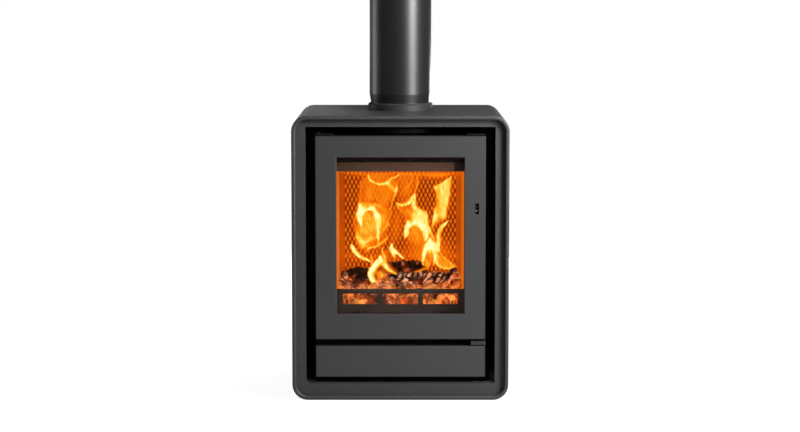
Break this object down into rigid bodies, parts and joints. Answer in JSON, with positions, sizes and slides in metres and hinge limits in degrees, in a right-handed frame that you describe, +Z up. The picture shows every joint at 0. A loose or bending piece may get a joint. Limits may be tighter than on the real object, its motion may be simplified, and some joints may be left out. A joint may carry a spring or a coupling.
{
  "type": "multi-fuel stove",
  "caption": "Compact freestanding multi-fuel stove: rounded convector casing, glazed door, ash drawer, rocking grate and top flue pipe.",
  "frame": {"origin": "on the floor, at the middle of the casing's footprint", "axes": "+Z up, the door faces -Y, +X to the right seen from the front"},
  "size_m": [0.44, 0.365, 0.845],
  "materials": {
    "casing_paint": "fine-textured matt charcoal stove paint",
    "door_paint": "smooth matt charcoal stove paint",
    "knob_paint": "satin black paint",
    "flue_paint": "satin black stove paint on rolled steel",
    "cast_iron_paint": "painted casting",
    "firebox_steel": "matt black welded plate",
    "firebrick": "dry pressed refractory brick, heat stained",
    "cast_iron": "rough bare casting, heat browned",
    "zinc_steel": "zinc-plated steel",
    "rope": "knitted glass-fibre rope",
    "fire_cement": "black fire cement",
    "ceramic_glass": "clear ceramic glass",
    "embers": "glowing charcoal and ash",
    "charred_wood": "burning log, charred",
    "ashy_wood": "burning log, cracked and covered in ash"
  },
  "bodies": {
    "stove": {"outer_casing": "casing_paint", "front_bezel": "casing_paint", "bezel_clips": "zinc_steel", "rear_panel": "casing_paint", "rear_panel_screws": "zinc_steel", "support_rail_left": "firebox_steel", "support_rail_right": "firebox_steel", "rail_bolts": "zinc_steel", "body_shell": "firebox_steel", "front_frame": "firebox_steel", "back_brick": "firebrick", "side_brick_left": "firebrick", "side_brick_right": "firebrick", "baffle_plate": "firebrick", "airwash_deflector": "firebox_steel", "log_retainer": "cast_iron", "retainer_lugs": "firebox_steel", "grate_frame": "cast_iron", "link_guides": "firebox_steel", "ash_runner_left": "firebox_steel", "ash_runner_right": "firebox_steel", "air_valve_guides": "firebox_steel", "flue_gasket": "rope", "flue_collar": "cast_iron_paint", "collar_bolts": "zinc_steel", "flue_joint_seal": "fire_cement", "flue_pipe": "flue_paint", "hinge_pin_top": "zinc_steel", "hinge_pin_bottom": "zinc_steel", "latch_keeper": "firebox_steel", "keeper_pin": "zinc_steel", "keeper_screw": "zinc_steel", "ember_bed": "embers", "log_back": "charred_wood", "log_front": "ashy_wood", "log_left": "charred_wood"},
    "door": {"door_frame": "door_paint", "door_glass": "ceramic_glass", "glass_gasket": "rope", "glass_clips": "firebox_steel", "glass_clip_screws": "zinc_steel", "door_rope_seal": "rope", "latch_guide": "firebox_steel"},
    "catch": {"latch_catch": "zinc_steel"},
    "ash_drawer": {"ash_pan": "firebox_steel", "lower_cover": "door_paint", "cover_brackets": "firebox_steel", "cover_screws": "zinc_steel"},
    "air_control": {"air_valve_plate": "zinc_steel", "air_knob": "knob_paint"},
    "riddling": {"riddling_link": "cast_iron", "riddling_lever": "cast_iron"},
    "rocking_bar_1": {"grate_bar_1": "cast_iron"},
    "rocking_bar_2": {"grate_bar_2": "cast_iron"},
    "rocking_bar_3": {"grate_bar_3": "cast_iron"},
    "rocking_bar_4": {"grate_bar_4": "cast_iron"},
    "rocking_bar_5": {"grate_bar_5": "cast_iron"}
  },
  "joints": [
    {"name": "door_swing", "type": "hinge", "parent": "stove", "child": "door", "pos_m": [-0.167, -0.1495, 0.3295], "axis": [0, 0, -1], "range_deg": [0, 110]},
    {"name": "catch_slide", "type": "slide", "parent": "door", "child": "catch", "axis": [0, 0, -1], "range_m": [0, 0.006]},
    {"name": "ash_drawer_slide", "type": "slide", "parent": "stove", "child": "ash_drawer", "axis": [0, -1, 0], "range_m": [0, 0.17]},
    {"name": "air_control_slide", "type": "slide", "parent": "stove", "child": "air_control", "axis": [-1, 0, 0], "range_m": [0, 0.03]},
    {"name": "riddling_slide", "type": "slide", "parent": "stove", "child": "riddling", "axis": [-1, 0, 0], "range_m": [-0.0038, 0.0038]},
    {"name": "bar_rock_1", "type": "hinge", "parent": "stove", "child": "rocking_bar_1", "pos_m": [-0.076, -0.01475, 0.157], "axis": [0, 1, 0], "range_deg": [-12, 12]},
    {"name": "bar_rock_2", "type": "hinge", "parent": "stove", "child": "rocking_bar_2", "pos_m": [-0.038, -0.01475, 0.157], "axis": [0, 1, 0], "range_deg": [-12, 12]},
    {"name": "bar_rock_3", "type": "hinge", "parent": "stove", "child": "rocking_bar_3", "pos_m": [0, -0.01475, 0.157], "axis": [0, 1, 0], "range_deg": [-12, 12]},
    {"name": "bar_rock_4", "type": "hinge", "parent": "stove", "child": "rocking_bar_4", "pos_m": [0.038, -0.01475, 0.157], "axis": [0, 1, 0], "range_deg": [-12, 12]},
    {"name": "bar_rock_5", "type": "hinge", "parent": "stove", "child": "rocking_bar_5", "pos_m": [0.076, -0.01475, 0.157], "axis": [0, 1, 0], "range_deg": [-12, 12]}
  ],
  "couplings": [
    {"joint": "bar_rock_1", "follows": "bar_rock_3", "ratio": 1},
    {"joint": "bar_rock_2", "follows": "bar_rock_3", "ratio": 1},
    {"joint": "bar_rock_4", "follows": "bar_rock_3", "ratio": 1},
    {"joint": "bar_rock_5", "follows": "bar_rock_3", "ratio": 1},
    {"joint": "riddling_slide", "follows": "bar_rock_3", "m_per_rad": 0.018}
  ]
}
